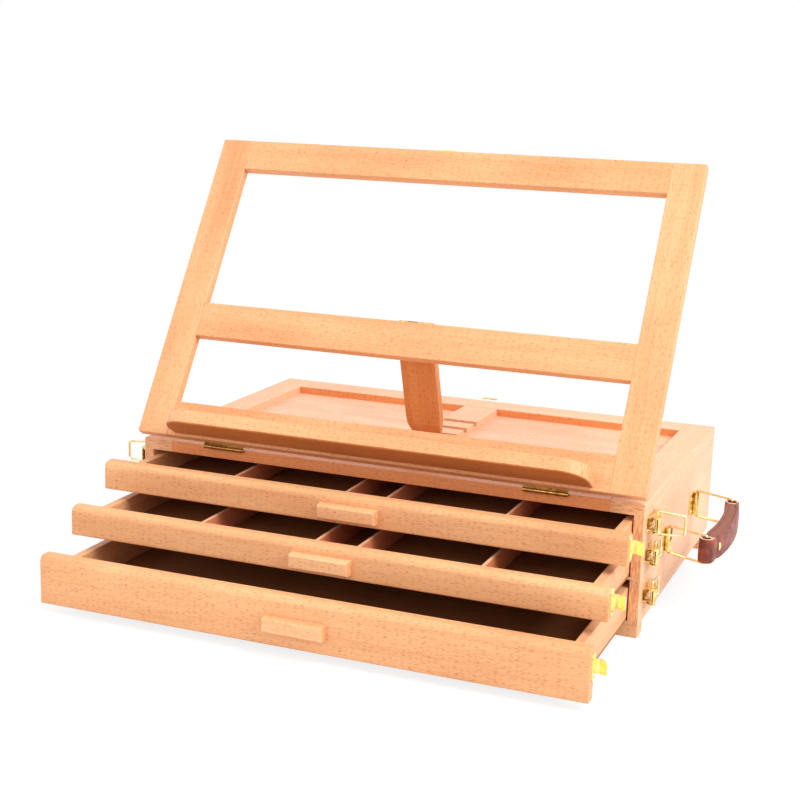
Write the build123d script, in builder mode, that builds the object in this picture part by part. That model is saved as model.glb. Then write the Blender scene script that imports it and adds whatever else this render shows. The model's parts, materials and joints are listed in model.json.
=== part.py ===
from build123d import *
from math import cos, radians, sin
import os

# A table box easel: a shallow wooden case with three drawers, and on its top a hinged
# frame that leans back on a prop leg. Millimetres, +X right, +Y back, +Z up. The origin
# is the middle of the front foot rail's underside.

# Case
CASE_WIDTH = 420.0
CASE_DEPTH = 272.0
FOOT_HEIGHT = 9.2
FOOT_DEPTH = 15.0
REAR_FOOT_SETBACK = 22.0
SIDE_THICKNESS = 8.0
BACK_THICKNESS = 8.0
BOTTOM_THICKNESS = 3.0
SHELF_THICKNESS = 2.0
GROOVE_DEPTH = 5.5
BOTTOM_BAY_HEIGHT = 32.2
MIDDLE_BAY_HEIGHT = 22.9
TOP_BAY_HEIGHT = 22.7
TOP_FRAME_THICKNESS = 9.4
TOP_STILE_WIDTH = 26.0
TOP_RAIL_DEPTH = 30.0
CENTRE_STILE_WIDTH = 31.8
TOP_PANEL_THICKNESS = 2.0
TOP_PANEL_DROP = 6.3
PANEL_GROOVE_DEPTH = 5.0

# Drawers, pulled out as far as each one stands. A front starts a little above its bay's
# floor and rises past the bay's ceiling; a minus sign means the other way.
DRAWER_FRONT_OVERHANG = 1.75
DRAWER_FRONT_THICKNESS = 11.0
FRONT_TOP_ROUNDING = 5.0
FRONT_BOTTOM_ROUNDING = 1.5
DRAWER_REAR_GAP = 6.0
DRAWER_WALL_THICKNESS = 7.0
DRAWER_FLOOR_THICKNESS = 1.6
DRAWER_SIDE_GAP = 1.0
DRAWER_RUNNING_GAP = 0.3
DRAWER_CLOSED_GAP = 0.3
PARTITION_THICKNESS = 3.0
PARTITION_DROP = 1.0
INNER_PARTITION_OFFSET = 17.0
OUTER_PARTITION_OFFSET = 113.0
TOP_FRONT_LIFT = 2.1
TOP_FRONT_RISE = 1.8
TOP_WALL_HEADROOM = 4.5
TOP_DRAWER_PULLED = 45.9
MIDDLE_FRONT_LIFT = 2.1
MIDDLE_FRONT_RISE = 1.8
MIDDLE_WALL_HEADROOM = 3.3
MIDDLE_DRAWER_PULLED = 93.0
BOTTOM_FRONT_LIFT = -5.5
BOTTOM_FRONT_RISE = -0.1
BOTTOM_WALL_HEADROOM = 6.4
BOTTOM_DRAWER_PULLED = 135.1
PULL_LENGTH = 47.6
PULL_HEIGHT = 11.2
PULL_PROJECTION = 7.6
PULL_TAPER = 4.9
PULL_DROP = 1.7
PULL_BEVEL = 0.8

# Easel frame and its ledge
EASEL_LEAN = 32.5
EASEL_SIDE_OVERHANG = 1.4
EASEL_REAR_OVERHANG = 2.1
EASEL_FRONT_SETBACK = 0.6
EASEL_THICKNESS = 8.5
EASEL_STILE_WIDTH = 26.9
EASEL_CLOSED_GAP = 0.2
BOTTOM_RAIL_WIDTH = 29.3
MIDDLE_RAIL_START = 88.5
MIDDLE_RAIL_WIDTH = 30.0
TOP_RAIL_WIDTH = 27.5
LEDGE_LENGTH = 350.0
LEDGE_SHIFT = -3.0
LEDGE_PROJECTION = 31.0
LEDGE_THICKNESS = 11.0
LEDGE_LIFT = 2.0
LEDGE_CORNER_RADIUS = 20.0
LEDGE_BEVEL = 0.8

# Hinges between the case and the easel frame
HINGE_LENGTH = 35.0
HINGE_OFFSET = 135.0
HINGE_LEAF_WIDTH = 13.0
HINGE_LEAF_THICKNESS = 1.2
HINGE_KNUCKLE_RADIUS = 1.7
HINGE_PIN_RADIUS = 0.8
HINGE_AXIS_FORWARD = 2.5
HINGE_AXIS_LIFT = 0.1
HINGE_SCREW_OFFSET = 12.0
HINGE_SCREW_INSET = 7.5
KNUCKLE_GAP = 0.25

# Prop leg, its hinge and the notches that its foot stands over
PROP_LEAN = 19.0
PROP_WIDTH = 30.0
PROP_THICKNESS = 8.0
PROP_TIP_WIDTH = 22.6
PROP_TAPER_LENGTH = 28.0
PROP_SOLE = 1.5
PROP_BEVEL_LENGTH = 16.0
PROP_FOOT_CLEARANCE = 2.4
PROP_HINGE_WIDTH = 24.0
PROP_LEAF_LENGTH = 20.0
PROP_LEAF_THICKNESS = 0.9
PROP_KNUCKLE_RADIUS = 1.9
PROP_PIN_RADIUS = 0.8
PROP_SCREW_OFFSET = 7.0
PROP_POCKET_END_GAP = 1.5
NOTCH_COUNT = 4
NOTCH_PITCH = 25.7
NOTCH_WIDTH = 8.6
NOTCH_DEPTH = 4.0
NOTCH_LEFT_END = -14.7
NOTCH_BEHIND_TIP = 0.4

# Toggle latches: each has a bracket, a lever, a wire bail and, facing it, a keeper.
# Those on the sides stand at a height above the floor of their drawer's bay.
BOTTOM_LATCH_HEIGHT = 18.0
MIDDLE_LATCH_HEIGHT = 14.6
TOP_LATCH_HEIGHT = 14.1
BACK_LATCH_X = -6.7
BRACKET_START = 7.0
BRACKET_LENGTH = 28.0
BRACKET_SHEET = 0.9
BRACKET_SCREWS = (23.5, 30.5)
CHEEK_SHEET = 0.8
CHEEK_FOOT = 4.0
LEVER_PIVOT = (13.0, 6.5)
LEVER_END = 34.0
LEVER_SHEET = 0.8
LEVER_WIDTH = 12.6
LEVER_SIDE_GAP = 0.3
LEVER_CHEEK_GAP = 0.4
LEVER_NOSE_RADIUS = 3.7
LEVER_NOSE_LIP = 1.8
LEVER_TAIL_BASE = 1.8
LEVER_TAIL_HEIGHT = 2.0
BAIL_PIVOT = (19.0, 5.5)
BAIL_SIDE_GAP = 1.7
BAIL_TAPER = 1.4
BAIL_END_INSET = 0.4
BAIL_WIRE_RADIUS = 1.0
BAIL_BEND_RADIUS = 2.5
BAIL_EYE_RADIUS = 1.5
BAIL_HOOK_GAP = 0.15
LATCH_PIN_RADIUS = 1.0
LATCH_PIN_OVERHANG = 0.5
RUNNING_CLEARANCE = 0.05
KEEPER_SHEET = 0.9
KEEPER_TAB_GAP = 1.6
KEEPER_TAB_STRAIGHT = 4.3
KEEPER_LIP_LEAN = 30.0
KEEPER_LIP = 6.6
SHORT_KEEPER_LIP = 1.8
KEEPER_TAB_ROUNDING = 2.0
KEEPER_PLATE_LENGTH = 20.0
KEEPER_PLATE_DEPTH = 7.0
KEEPER_SCREW_OFFSET = 6.0
BAIL_STRAIGHT_OUT = 90.0
BAIL_FOLDED_BACK = 180.0
BACK_BAIL_REST = 36.0

# Carrying handle on the right side
HANDLE_HEIGHT = 55.3
HANDLE_FRONT_BARREL = 78.0
HANDLE_BARREL_SPACING = 110.0
HANDLE_BARREL_OFFSET = 3.4
HANDLE_BARREL_RADIUS = 2.8
HANDLE_PLATE_SHEET = 1.0
HANDLE_PLATE_LENGTH = 15.0
HANDLE_PLATE_HEIGHT = 18.0
HANDLE_SCREW_SETBACK = 10.0
HANDLE_SCREW_SPREAD = 11.0
HANDLE_SWING = 23.5
HANDLE_REACH = 34.8
HANDLE_WIRE_RADIUS = 1.0
HANDLE_LOOP_HEIGHT = 22.0
HANDLE_BEND_RADIUS = 1.3
HANDLE_END_GAP = 0.1
GRIP_THICKNESS = 11.4
GRIP_BOW = 5.5
GRIP_REAR_CLEARANCE = 0.3
RIVET_SETBACK = 15.0
RIVET_RADIUS = 3.7
RIVET_HEAD = 0.8
RIVET_SHANK_RADIUS = 1.2

# Wood screws and finish
SCREW_HEAD_RADIUS = 1.7
SCREW_HEAD_HEIGHT = 0.5
SCREW_SHANK_RADIUS = 0.9
SCREW_LENGTH = 5.5
SCREW_HOLE_CLEARANCE = 0.1
EASED_EDGE = 0.4
GLUE_LINE = 0.05

# Places that follow from the sizes above
front_y = -FOOT_DEPTH / 2
rear_y = front_y + CASE_DEPTH
middle_y = (front_y + rear_y) / 2
half_width = CASE_WIDTH / 2
inner_half = half_width - SIDE_THICKNESS
inner_depth = CASE_DEPTH - BACK_THICKNESS
bottom_bay_floor = FOOT_HEIGHT + BOTTOM_THICKNESS
lower_shelf = bottom_bay_floor + BOTTOM_BAY_HEIGHT
middle_bay_floor = lower_shelf + SHELF_THICKNESS
upper_shelf = middle_bay_floor + MIDDLE_BAY_HEIGHT
top_bay_floor = upper_shelf + SHELF_THICKNESS
frame_base = top_bay_floor + TOP_BAY_HEIGHT
case_top = frame_base + TOP_FRAME_THICKNESS
panel_base = case_top - TOP_PANEL_DROP - TOP_PANEL_THICKNESS
top_window_half = half_width - TOP_STILE_WIDTH
window_width = top_window_half - CENTRE_STILE_WIDTH / 2
window_middle = (top_window_half + CENTRE_STILE_WIDTH / 2) / 2
panel_width = window_width + 2 * PANEL_GROOVE_DEPTH
panel_length = CASE_DEPTH - 2 * (TOP_RAIL_DEPTH - PANEL_GROOVE_DEPTH)
panel_centres = [(-window_middle, middle_y), (window_middle, middle_y)]
drawer_front_half = half_width + DRAWER_FRONT_OVERHANG
drawer_box_length = inner_depth - DRAWER_REAR_GAP

bracket_width = LEVER_WIDTH - 2 * (LEVER_SHEET + LEVER_SIDE_GAP)
cheek_radius = LEVER_NOSE_RADIUS - LEVER_SHEET - LEVER_CHEEK_GAP
bail_half = LEVER_WIDTH / 2 + BAIL_SIDE_GAP + BAIL_WIRE_RADIUS
bail_end_half = bail_half - BAIL_TAPER
keeper_tab_half = bail_end_half - BAIL_WIRE_RADIUS - KEEPER_TAB_GAP
keeper_screws = [(-KEEPER_PLATE_DEPTH / 2, sign * KEEPER_SCREW_OFFSET) for sign in (-1, 1)]
latch_heights = {
    "bottom": bottom_bay_floor + BOTTOM_LATCH_HEIGHT,
    "middle": middle_bay_floor + MIDDLE_LATCH_HEIGHT,
    "top": top_bay_floor + TOP_LATCH_HEIGHT,
}
handle_height_between = HANDLE_LOOP_HEIGHT - 2 * (HANDLE_BEND_RADIUS + HANDLE_END_GAP)

easel_lean = radians(EASEL_LEAN)
easel_closing = 90.0 - EASEL_LEAN
easel_half = half_width + EASEL_SIDE_OVERHANG
easel_length = CASE_DEPTH - EASEL_FRONT_SETBACK + EASEL_REAR_OVERHANG
easel_inner_half = easel_half - EASEL_STILE_WIDTH
hinge_y = front_y - HINGE_AXIS_FORWARD
hinge_z = case_top + HINGE_AXIS_LIFT
closing = radians(easel_closing)
closed_corner_y = front_y + EASEL_FRONT_SETBACK - hinge_y
closed_corner_z = case_top + EASEL_CLOSED_GAP - hinge_z
easel_foot_y = hinge_y + closed_corner_y * cos(closing) - closed_corner_z * sin(closing)
easel_foot_z = hinge_z + closed_corner_y * sin(closing) + closed_corner_z * cos(closing)
easel_plane = Plane(
    origin=(0, easel_foot_y, easel_foot_z),
    x_dir=(1, 0, 0),
    z_dir=(0, -cos(easel_lean), sin(easel_lean)),
)

middle_rail_end = MIDDLE_RAIL_START + MIDDLE_RAIL_WIDTH
prop_hinge_along = middle_rail_end + PROP_KNUCKLE_RADIUS + KNUCKLE_GAP
prop_hinge_y = easel_foot_y + prop_hinge_along * sin(easel_lean)
prop_hinge_z = easel_foot_z + prop_hinge_along * cos(easel_lean)
prop_lean = radians(PROP_LEAN)
prop_tip_z = case_top + PROP_FOOT_CLEARANCE
prop_drop = prop_hinge_z + PROP_THICKNESS * sin(prop_lean) - prop_tip_z
prop_length = prop_drop / cos(prop_lean)
prop_tip_y = prop_hinge_y + prop_length * sin(prop_lean) + PROP_THICKNESS * cos(prop_lean)
prop_plane = Plane(
    origin=(0, prop_hinge_y, prop_hinge_z),
    x_dir=(1, 0, 0),
    z_dir=(0, -cos(prop_lean), -sin(prop_lean)),
)

os.makedirs("parts", exist_ok=True)


def save(piece, name):
    """Label a finished piece and write it under its own name."""
    piece.part.label = name
    export_step(piece.part, f"parts/{name}.step")


def boards(plane, width, length, thickness, centres, eased=EASED_EDGE):
    """Boards of one size, lying on a plane at the given centres, with their edges eased."""
    with BuildPart() as wood:
        with BuildSketch(plane):
            with Locations(*centres):
                Rectangle(width, length)
        extrude(amount=thickness)
        chamfer(wood.edges(), eased)
    return wood


# Case: two sides, grooved for the shelves, with the back and the bottom between them
def case_side(sign):
    """A side board, with a groove along its inside for each shelf."""
    with BuildPart() as side:
        with BuildSketch(Plane.XY.offset(FOOT_HEIGHT)):
            with Locations((sign * (half_width - SIDE_THICKNESS / 2), middle_y)):
                Rectangle(SIDE_THICKNESS, CASE_DEPTH)
        extrude(amount=frame_base - FOOT_HEIGHT)
        chamfer(side.edges(), EASED_EDGE)
        for shelf_base in (lower_shelf, upper_shelf):
            with BuildSketch(Plane.XY.offset(shelf_base - GLUE_LINE)):
                with Locations((sign * (inner_half + GROOVE_DEPTH / 2), front_y + inner_depth / 2)):
                    Rectangle(GROOVE_DEPTH + GLUE_LINE, inner_depth)
            extrude(amount=SHELF_THICKNESS + 2 * GLUE_LINE, mode=Mode.SUBTRACT)
    return side


save(case_side(-1), "case_side_left")
save(case_side(1), "case_side_right")

back_panel = boards(
    Plane.XY.offset(FOOT_HEIGHT),
    2 * (inner_half - GLUE_LINE),
    BACK_THICKNESS,
    frame_base - FOOT_HEIGHT,
    [(0, rear_y - BACK_THICKNESS / 2)],
)
save(back_panel, "back_panel")

bottom_panel = boards(
    Plane.XY.offset(FOOT_HEIGHT),
    2 * (inner_half - GLUE_LINE),
    inner_depth - GLUE_LINE,
    BOTTOM_THICKNESS,
    [(0, front_y + (inner_depth - GLUE_LINE) / 2)],
)
save(bottom_panel, "bottom_panel")

with BuildPart() as case_shelves:
    for shelf_base in (lower_shelf, upper_shelf):
        with BuildSketch(Plane.XY.offset(shelf_base)):
            with Locations((0, front_y + (inner_depth - GLUE_LINE) / 2)):
                Rectangle(2 * (inner_half + GROOVE_DEPTH - 2 * GLUE_LINE), inner_depth - GLUE_LINE)
        extrude(amount=SHELF_THICKNESS)
save(case_shelves, "case_shelves")

foot_rails = boards(
    Plane.XY,
    CASE_WIDTH,
    FOOT_DEPTH,
    FOOT_HEIGHT,
    [(0, 0), (0, rear_y - REAR_FOOT_SETBACK - FOOT_DEPTH / 2)],
)
save(foot_rails, "foot_rails")

# Case top: a frame of stiles and rails, grooved for the edges of two thin sunk panels
with BuildPart() as panel_room:
    with BuildSketch(Plane.XY.offset(panel_base - GLUE_LINE)):
        with Locations(*panel_centres):
            Rectangle(panel_width + 2 * GLUE_LINE, panel_length + 2 * GLUE_LINE)
    extrude(amount=TOP_PANEL_THICKNESS + 2 * GLUE_LINE)

side_stile_boards = boards(
    Plane.XY.offset(frame_base),
    TOP_STILE_WIDTH,
    CASE_DEPTH,
    TOP_FRAME_THICKNESS,
    [(sign * (half_width - TOP_STILE_WIDTH / 2), middle_y) for sign in (-1, 1)],
)
with BuildPart() as top_side_stiles:
    add(side_stile_boards.part)
    add(panel_room.part, mode=Mode.SUBTRACT)
save(top_side_stiles, "top_side_stiles")

rail_boards = boards(
    Plane.XY.offset(frame_base),
    2 * (top_window_half - GLUE_LINE),
    TOP_RAIL_DEPTH,
    TOP_FRAME_THICKNESS,
    [(0, front_y + TOP_RAIL_DEPTH / 2), (0, rear_y - TOP_RAIL_DEPTH / 2)],
)
with BuildPart() as top_rails:
    add(rail_boards.part)
    add(panel_room.part, mode=Mode.SUBTRACT)
    # The front rail is let in for the case leaves of the easel frame's hinges.
    with BuildSketch(Plane.XY.offset(case_top)):
        with Locations((-HINGE_OFFSET, front_y), (HINGE_OFFSET, front_y)):
            Rectangle(
                HINGE_LENGTH + 2 * GLUE_LINE,
                HINGE_LEAF_WIDTH + GLUE_LINE,
                align=(Align.CENTER, Align.MIN),
            )
    extrude(amount=-HINGE_LEAF_THICKNESS - GLUE_LINE, mode=Mode.SUBTRACT)
save(top_rails, "top_rails")

with BuildPart() as top_centre_stile:
    with BuildSketch(Plane.XY.offset(frame_base)):
        with Locations((0, middle_y)):
            Rectangle(CENTRE_STILE_WIDTH, CASE_DEPTH - 2 * (TOP_RAIL_DEPTH + GLUE_LINE))
    extrude(amount=TOP_FRAME_THICKNESS)
    chamfer(top_centre_stile.edges(), EASED_EDGE)
    add(panel_room.part, mode=Mode.SUBTRACT)
    notch_length = CENTRE_STILE_WIDTH / 2 - NOTCH_LEFT_END
    notch_x = NOTCH_LEFT_END + notch_length / 2
    first_notch_y = prop_tip_y + NOTCH_BEHIND_TIP - NOTCH_WIDTH / 2
    with BuildSketch(Plane.XY.offset(case_top - NOTCH_DEPTH)):
        with Locations(
            *[(notch_x, first_notch_y + step * NOTCH_PITCH) for step in range(NOTCH_COUNT)]
        ):
            Rectangle(notch_length, NOTCH_WIDTH)
    extrude(amount=NOTCH_DEPTH, mode=Mode.SUBTRACT)
    # A shallow pocket takes the prop hinge's knuckles when the easel frame lies flat.
    pocket_depth = PROP_KNUCKLE_RADIUS + KNUCKLE_GAP
    with BuildSketch(Plane.XY.offset(case_top - pocket_depth)):
        with Locations((0, front_y + EASEL_FRONT_SETBACK + prop_hinge_along)):
            Rectangle(PROP_HINGE_WIDTH + 2 * PROP_POCKET_END_GAP, 2 * pocket_depth)
    extrude(amount=pocket_depth, mode=Mode.SUBTRACT)
save(top_centre_stile, "top_centre_stile")

top_panels = boards(
    Plane.XY.offset(panel_base), panel_width, panel_length, TOP_PANEL_THICKNESS, panel_centres
)
save(top_panels, "top_panels")


# Screws stand on a plane whose normal points out of the wood
def screws(planes):
    """Round-headed wood screws, their shanks sunk in the wood below the plane."""
    with BuildPart() as set_of_screws:
        for plane in planes:
            with BuildSketch(plane.offset(-SCREW_LENGTH)):
                Circle(SCREW_SHANK_RADIUS)
            extrude(amount=SCREW_LENGTH)
            with BuildSketch(plane):
                Circle(SCREW_HEAD_RADIUS)
            extrude(amount=SCREW_HEAD_HEIGHT)
    return set_of_screws


screw_hole_radius = SCREW_SHANK_RADIUS + SCREW_HOLE_CLEARANCE
case_screw_planes = []
easel_screw_planes = []

# Each latch has its own plane: local x runs from the keeper along the wood, local y
# points out of the wood, and local z runs along the pivot pin.
keeper_gap = DRAWER_CLOSED_GAP
latch_planes = {}
for level, height in latch_heights.items():
    for side, sign in (("left", -1), ("right", 1)):
        latch_planes[f"{level}_{side}"] = Plane(
            origin=(sign * half_width, front_y - keeper_gap, height),
            x_dir=(0, 1, 0),
            z_dir=(0, 0, -sign),
        )
latch_planes["back"] = Plane(
    origin=(BACK_LATCH_X, rear_y, case_top + EASEL_CLOSED_GAP),
    x_dir=(0, 0, -1),
    z_dir=(1, 0, 0),
)
bail_rest = {name: BAIL_FOLDED_BACK for name in latch_planes}
bail_rest["top_left"] = BAIL_STRAIGHT_OUT
bail_rest["top_right"] = BAIL_STRAIGHT_OUT
bail_rest["back"] = BACK_BAIL_REST

with BuildPart() as latch_plates:
    for plane in latch_planes.values():
        with BuildSketch(plane.offset(-bracket_width / 2)):
            with Locations((BRACKET_START + BRACKET_LENGTH / 2, BRACKET_SHEET / 2)):
                Rectangle(BRACKET_LENGTH, BRACKET_SHEET)
        extrude(amount=bracket_width)
        for cheek_base in (-bracket_width / 2, bracket_width / 2 - CHEEK_SHEET):
            with BuildSketch(plane.offset(cheek_base)):
                with Locations((LEVER_PIVOT[0], 0)):
                    Rectangle(CHEEK_FOOT, LEVER_PIVOT[1], align=(Align.MIN, Align.MIN))
                with Locations(LEVER_PIVOT):
                    Circle(cheek_radius)
                    Circle(LATCH_PIN_RADIUS + RUNNING_CLEARANCE, mode=Mode.SUBTRACT)
            extrude(amount=CHEEK_SHEET)
        for along in BRACKET_SCREWS:
            seat = Plane(
                origin=plane.from_local_coords((along, BRACKET_SHEET, 0)),
                x_dir=plane.x_dir,
                z_dir=plane.y_dir,
            )
            case_screw_planes.append(seat)
            with BuildSketch(seat):
                Circle(screw_hole_radius)
            extrude(amount=-BRACKET_SHEET, mode=Mode.SUBTRACT)
save(latch_plates, "latch_plates")


def latch_lever(plane):
    """A channel of folded sheet: two flanges outside the bracket's cheeks, joined by a web.

    The web slopes down to the lever's tail and curls over the nose as far as its lip.
    """
    pivot_x, pivot_y = LEVER_PIVOT
    nose = (pivot_x - LEVER_NOSE_RADIUS, pivot_y)
    crown = (pivot_x, pivot_y + LEVER_NOSE_RADIUS)
    heel = (pivot_x, pivot_y - LEVER_NOSE_RADIUS)
    tail_low = (LEVER_END, LEVER_TAIL_BASE)
    tail_high = (LEVER_END, LEVER_TAIL_BASE + LEVER_TAIL_HEIGHT)
    web_slope = (crown[1] - tail_high[1]) / (LEVER_END - pivot_x)
    under_crown = crown[1] - LEVER_SHEET
    past_end = LEVER_END + LEVER_SHEET
    in_front = nose[0] - LEVER_SHEET
    with BuildPart() as lever:
        with BuildSketch(plane.offset(-LEVER_WIDTH / 2)):
            with BuildLine():
                ThreePointArc(crown, nose, heel)
                Polyline(heel, tail_low, tail_high, crown)
            make_face()
        extrude(amount=LEVER_WIDTH)
        inner_width = LEVER_WIDTH - 2 * LEVER_SHEET
        with BuildSketch(plane.offset(-inner_width / 2)):
            with BuildLine():
                Polyline(
                    (pivot_x, under_crown),
                    (past_end, under_crown - web_slope * (past_end - pivot_x)),
                    (past_end, 0),
                    (in_front, 0),
                    (in_front, pivot_y + LEVER_NOSE_LIP),
                    (pivot_x, pivot_y + LEVER_NOSE_LIP),
                    close=True,
                )
            make_face()
            with Locations(LEVER_PIVOT):
                Circle(LEVER_NOSE_RADIUS - LEVER_SHEET)
        extrude(amount=inner_width, mode=Mode.SUBTRACT)
        with BuildSketch(plane.offset(-LEVER_WIDTH / 2)):
            with Locations(LEVER_PIVOT):
                Circle(LATCH_PIN_RADIUS + RUNNING_CLEARANCE)
            with Locations(BAIL_PIVOT):
                Circle(BAIL_WIRE_RADIUS + RUNNING_CLEARANCE)
        extrude(amount=LEVER_WIDTH, mode=Mode.SUBTRACT)
    return lever


def latch_bail(plane, rest_angle):
    """A wire loop on the lever, at an angle from where it hooks over the keeper's tab."""
    reach = BAIL_PIVOT[0] + KEEPER_SHEET + BAIL_HOOK_GAP + BAIL_WIRE_RADIUS
    turn = radians(rest_angle)
    outward = plane.x_dir * -cos(turn) + plane.y_dir * sin(turn)
    loop_plane = Plane(
        origin=plane.from_local_coords((BAIL_PIVOT[0], BAIL_PIVOT[1], 0)),
        x_dir=outward,
        z_dir=outward.cross(plane.z_dir),
    )
    inner_end = LEVER_WIDTH / 2 - LEVER_SHEET - BAIL_END_INSET
    with BuildPart() as bail:
        with BuildLine(loop_plane) as wire:
            FilletPolyline(
                (0, -inner_end),
                (0, -bail_half),
                (reach, -bail_end_half),
                (reach, bail_end_half),
                (0, bail_half),
                (0, inner_end),
                radius=[BAIL_EYE_RADIUS, BAIL_BEND_RADIUS, BAIL_BEND_RADIUS, BAIL_EYE_RADIUS],
            )
        with BuildSketch(Plane(origin=wire.line @ 0, z_dir=wire.line % 0)):
            Circle(BAIL_WIRE_RADIUS)
        sweep()
    return bail


for name, plane in latch_planes.items():
    save(latch_lever(plane), f"latch_lever_{name}")
    save(latch_bail(plane, bail_rest[name]), f"latch_bail_{name}")


def keeper(seat, lip):
    """A bent strap: a round-ended plate on the wood's end, and a tab whose lip holds the bail.

    The seat's local x points at the latch's wood and its normal points out of the end.
    """
    lean = radians(KEEPER_LIP_LEAN)
    tab_plane = Plane(origin=seat.origin, x_dir=seat.z_dir, z_dir=-seat.x_dir)
    lip_plane = Plane(
        origin=seat.from_local_coords((0, 0, KEEPER_TAB_STRAIGHT)),
        x_dir=seat.z_dir * cos(lean) - seat.x_dir * sin(lean),
        z_dir=seat.x_dir * -cos(lean) - seat.z_dir * sin(lean),
    )
    with BuildPart() as strap:
        with BuildSketch(seat):
            with Locations((-KEEPER_PLATE_DEPTH / 2, 0)):
                SlotOverall(KEEPER_PLATE_LENGTH, KEEPER_PLATE_DEPTH, rotation=90)
            with Locations(*keeper_screws):
                Circle(screw_hole_radius, mode=Mode.SUBTRACT)
        extrude(amount=KEEPER_SHEET)
        with BuildSketch(tab_plane):
            Rectangle(KEEPER_TAB_STRAIGHT, 2 * keeper_tab_half, align=(Align.MIN, Align.CENTER))
        extrude(amount=KEEPER_SHEET)
        with BuildSketch(lip_plane) as outline:
            Rectangle(lip, 2 * keeper_tab_half, align=(Align.MIN, Align.CENTER))
            fillet(outline.vertices().group_by(Axis.X)[-1], min(KEEPER_TAB_ROUNDING, lip / 2))
        extrude(amount=KEEPER_SHEET)
    return strap


# Drawers
def drawer(name, bay_floor, bay_height, front_lift, front_rise, headroom, pulled, divided):
    """One drawer at its place: front, pull, walls, floor, partitions and keepers."""
    back_of_front = front_y - DRAWER_CLOSED_GAP - pulled
    front_base = bay_floor + front_lift
    front_height = bay_height + front_rise - front_lift
    floor_base = bay_floor + DRAWER_RUNNING_GAP
    wall_base = floor_base + DRAWER_FLOOR_THICKNESS
    wall_height = bay_floor + bay_height - headroom - wall_base
    box_half = inner_half - DRAWER_SIDE_GAP
    box_start = back_of_front + GLUE_LINE
    box_middle = box_start + drawer_box_length / 2

    with BuildPart() as front:
        with BuildSketch(Plane.YZ.offset(-drawer_front_half)) as profile:
            with Locations((back_of_front - DRAWER_FRONT_THICKNESS / 2, front_base + front_height / 2)):
                Rectangle(DRAWER_FRONT_THICKNESS, front_height)
            face_corners = profile.vertices().group_by(Axis.X)[0].sort_by(Axis.Y)
            fillet(face_corners[-1], FRONT_TOP_ROUNDING)
            face_corners = profile.vertices().group_by(Axis.X)[0].sort_by(Axis.Y)
            fillet(face_corners[0], FRONT_BOTTOM_ROUNDING)
        extrude(amount=2 * drawer_front_half)
    save(front, f"{name}_drawer_front")

    pull_plane = Plane(
        origin=(0, back_of_front - DRAWER_FRONT_THICKNESS, front_base + front_height / 2 - PULL_DROP),
        x_dir=(1, 0, 0),
        z_dir=(0, -1, 0),
    )
    with BuildPart() as pull:
        with BuildSketch(pull_plane):
            Rectangle(PULL_LENGTH, PULL_HEIGHT)
        extrude(amount=PULL_PROJECTION, taper=PULL_TAPER)
        chamfer(pull.faces().sort_by(Axis.Y)[0].edges(), PULL_BEVEL)
    save(pull, f"{name}_drawer_pull")

    wall_x = box_half - DRAWER_WALL_THICKNESS / 2
    with BuildPart() as walls:
        with BuildSketch(Plane.XY.offset(wall_base)):
            with Locations((-wall_x, box_middle), (wall_x, box_middle)):
                Rectangle(DRAWER_WALL_THICKNESS, drawer_box_length)
            with Locations((0, box_start + drawer_box_length - DRAWER_WALL_THICKNESS / 2)):
                Rectangle(2 * (box_half - DRAWER_WALL_THICKNESS - GLUE_LINE), DRAWER_WALL_THICKNESS)
        extrude(amount=wall_height)
        chamfer(walls.edges(), EASED_EDGE)
    save(walls, f"{name}_drawer_walls")

    with BuildPart() as floor:
        with BuildSketch(Plane.XY.offset(floor_base)):
            with Locations((0, box_middle)):
                Rectangle(2 * box_half, drawer_box_length)
        extrude(amount=DRAWER_FLOOR_THICKNESS)
    save(floor, f"{name}_drawer_floor")

    if divided:
        compartment_length = drawer_box_length - DRAWER_WALL_THICKNESS - GLUE_LINE
        partitions = boards(
            Plane.XY.offset(wall_base),
            PARTITION_THICKNESS,
            compartment_length,
            wall_height - PARTITION_DROP,
            [
                (sign * offset, box_start + compartment_length / 2)
                for sign in (-1, 1)
                for offset in (INNER_PARTITION_OFFSET, OUTER_PARTITION_OFFSET)
            ],
        )
        save(partitions, f"{name}_drawer_partitions")

    straps = [
        keeper(
            Plane(
                origin=(sign * drawer_front_half, back_of_front, latch_heights[name]),
                x_dir=(0, 1, 0),
                z_dir=(sign, 0, 0),
            ),
            KEEPER_LIP if sign > 0 else SHORT_KEEPER_LIP,
        )
        for sign in (-1, 1)
    ]
    with BuildPart() as keepers:
        for strap in straps:
            add(strap.part)
    save(keepers, f"{name}_drawer_keepers")


drawer(
    "top",
    top_bay_floor,
    TOP_BAY_HEIGHT,
    TOP_FRONT_LIFT,
    TOP_FRONT_RISE,
    TOP_WALL_HEADROOM,
    TOP_DRAWER_PULLED,
    divided=True,
)
drawer(
    "middle",
    middle_bay_floor,
    MIDDLE_BAY_HEIGHT,
    MIDDLE_FRONT_LIFT,
    MIDDLE_FRONT_RISE,
    MIDDLE_WALL_HEADROOM,
    MIDDLE_DRAWER_PULLED,
    divided=True,
)
drawer(
    "bottom",
    bottom_bay_floor,
    BOTTOM_BAY_HEIGHT,
    BOTTOM_FRONT_LIFT,
    BOTTOM_FRONT_RISE,
    BOTTOM_WALL_HEADROOM,
    BOTTOM_DRAWER_PULLED,
    divided=False,
)

# Easel frame: on its plane local x runs right, local y up the frame, local z to its front
easel_stiles = boards(
    easel_plane,
    EASEL_STILE_WIDTH,
    easel_length,
    EASEL_THICKNESS,
    [(sign * (easel_half - EASEL_STILE_WIDTH / 2), easel_length / 2) for sign in (-1, 1)],
)
save(easel_stiles, "easel_stiles")


def easel_rail(start, width):
    """A rail between the easel's stiles."""
    return boards(
        easel_plane,
        2 * (easel_inner_half - GLUE_LINE),
        width,
        EASEL_THICKNESS,
        [(0, start + width / 2)],
    )


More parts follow.
